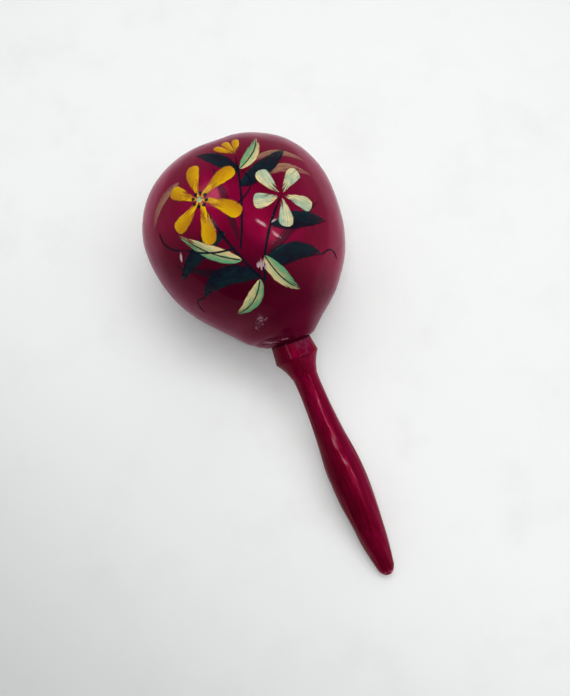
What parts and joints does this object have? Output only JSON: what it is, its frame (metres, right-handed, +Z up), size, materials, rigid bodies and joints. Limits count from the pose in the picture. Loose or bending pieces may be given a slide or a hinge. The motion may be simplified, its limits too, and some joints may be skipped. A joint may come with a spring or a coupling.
{
  "type": "gourd maraca",
  "caption": "Lacquered gourd maraca lying on its side: a hollow, round rattle head with loose seeds inside, on a slim turned wooden handle with a faceted collar.",
  "frame": {"origin": "on the table top, under the middle of the whole maraca's box as it lies on the gourd's belly and the handle's tip", "axes": "+X from the rattle head towards the handle's tip, level with the table; +Z up; the maraca's own axis falls 14 degrees towards +X"},
  "size_m": [0.223, 0.0962, 0.0962],
  "materials": {
    "gourd_lacquer": "glossy burgundy lacquer on a dried gourd",
    "handle_lacquer": "satin burgundy lacquer on turned wood",
    "dried_glue": "hardened amber glue",
    "dried_seed": "dry brown seed coat"
  },
  "bodies": {
    "maraca": {"gourd_shell": "gourd_lacquer", "handle": "handle_lacquer", "glue_bead": "dried_glue"},
    "seed_01": {"seed_01": "dried_seed"},
    "seed_02": {"seed_02": "dried_seed"},
    "seed_03": {"seed_03": "dried_seed"},
    "seed_04": {"seed_04": "dried_seed"},
    "seed_05": {"seed_05": "dried_seed"},
    "seed_06": {"seed_06": "dried_seed"},
    "seed_07": {"seed_07": "dried_seed"},
    "seed_08": {"seed_08": "dried_seed"},
    "seed_09": {"seed_09": "dried_seed"},
    "seed_10": {"seed_10": "dried_seed"},
    "seed_11": {"seed_11": "dried_seed"},
    "seed_12": {"seed_12": "dried_seed"},
    "seed_13": {"seed_13": "dried_seed"},
    "seed_14": {"seed_14": "dried_seed"},
    "seed_15": {"seed_15": "dried_seed"},
    "seed_16": {"seed_16": "dried_seed"},
    "seed_17": {"seed_17": "dried_seed"},
    "seed_18": {"seed_18": "dried_seed"},
    "seed_19": {"seed_19": "dried_seed"},
    "seed_20": {"seed_20": "dried_seed"},
    "seed_21": {"seed_21": "dried_seed"},
    "seed_22": {"seed_22": "dried_seed"},
    "seed_23": {"seed_23": "dried_seed"},
    "seed_24": {"seed_24": "dried_seed"},
    "seed_25": {"seed_25": "dried_seed"},
    "seed_26": {"seed_26": "dried_seed"},
    "seed_27": {"seed_27": "dried_seed"},
    "seed_28": {"seed_28": "dried_seed"}
  },
  "joints": [
    {"name": "seed_01_hop", "type": "slide", "parent": "maraca", "child": "seed_01", "axis": [0, 0, 1], "range_m": [0, 0.083]},
    {"name": "seed_02_hop", "type": "slide", "parent": "maraca", "child": "seed_02", "axis": [0, 0, 1], "range_m": [0, 0.083]},
    {"name": "seed_03_hop", "type": "slide", "parent": "maraca", "child": "seed_03", "axis": [0, 0, 1], "range_m": [0, 0.082]},
    {"name": "seed_04_hop", "type": "slide", "parent": "maraca", "child": "seed_04", "axis": [0, 0, 1], "range_m": [0, 0.082]},
    {"name": "seed_05_hop", "type": "slide", "parent": "maraca", "child": "seed_05", "axis": [0, 0, 1], "range_m": [0, 0.081]},
    {"name": "seed_06_hop", "type": "slide", "parent": "maraca", "child": "seed_06", "axis": [0, 0, 1], "range_m": [0, 0.081]},
    {"name": "seed_07_hop", "type": "slide", "parent": "maraca", "child": "seed_07", "axis": [0, 0, 1], "range_m": [0, 0.081]},
    {"name": "seed_08_hop", "type": "slide", "parent": "maraca", "child": "seed_08", "axis": [0, 0, 1], "range_m": [0, 0.081]},
    {"name": "seed_09_hop", "type": "slide", "parent": "maraca", "child": "seed_09", "axis": [0, 0, 1], "range_m": [0, 0.081]},
    {"name": "seed_10_hop", "type": "slide", "parent": "maraca", "child": "seed_10", "axis": [0, 0, 1], "range_m": [0, 0.079]},
    {"name": "seed_11_hop", "type": "slide", "parent": "maraca", "child": "seed_11", "axis": [0, 0, 1], "range_m": [0, 0.079]},
    {"name": "seed_12_hop", "type": "slide", "parent": "maraca", "child": "seed_12", "axis": [0, 0, 1], "range_m": [0, 0.078]},
    {"name": "seed_13_hop", "type": "slide", "parent": "maraca", "child": "seed_13", "axis": [0, 0, 1], "range_m": [0, 0.078]},
    {"name": "seed_14_hop", "type": "slide", "parent": "maraca", "child": "seed_14", "axis": [0, 0, 1], "range_m": [0, 0.08]},
    {"name": "seed_15_hop", "type": "slide", "parent": "maraca", "child": "seed_15", "axis": [0, 0, 1], "range_m": [0, 0.079]},
    {"name": "seed_16_hop", "type": "slide", "parent": "maraca", "child": "seed_16", "axis": [0, 0, 1], "range_m": [0, 0.079]},
    {"name": "seed_17_hop", "type": "slide", "parent": "maraca", "child": "seed_17", "axis": [0, 0, 1], "range_m": [0, 0.077]},
    {"name": "seed_18_hop", "type": "slide", "parent": "maraca", "child": "seed_18", "axis": [0, 0, 1], "range_m": [0, 0.077]},
    {"name": "seed_19_hop", "type": "slide", "parent": "maraca", "child": "seed_19", "axis": [0, 0, 1], "range_m": [0, 0.077]},
    {"name": "seed_20_hop", "type": "slide", "parent": "maraca", "child": "seed_20", "axis": [0, 0, 1], "range_m": [0, 0.077]},
    {"name": "seed_21_hop", "type": "slide", "parent": "maraca", "child": "seed_21", "axis": [0, 0, 1], "range_m": [0, 0.077]},
    {"name": "seed_22_hop", "type": "slide", "parent": "maraca", "child": "seed_22", "axis": [0, 0, 1], "range_m": [0, 0.077]},
    {"name": "seed_23_hop", "type": "slide", "parent": "maraca", "child": "seed_23", "axis": [0, 0, 1], "range_m": [0, 0.077]},
    {"name": "seed_24_hop", "type": "slide", "parent": "maraca", "child": "seed_24", "axis": [0, 0, 1], "range_m": [0, 0.075]},
    {"name": "seed_25_hop", "type": "slide", "parent": "maraca", "child": "seed_25", "axis": [0, 0, 1], "range_m": [0, 0.075]},
    {"name": "seed_26_hop", "type": "slide", "parent": "maraca", "child": "seed_26", "axis": [0, 0, 1], "range_m": [0, 0.074]},
    {"name": "seed_27_hop", "type": "slide", "parent": "maraca", "child": "seed_27", "axis": [0, 0, 1], "range_m": [0, 0.074]},
    {"name": "seed_28_hop", "type": "slide", "parent": "maraca", "child": "seed_28", "axis": [0, 0, 1], "range_m": [0, 0.073]}
  ]
}
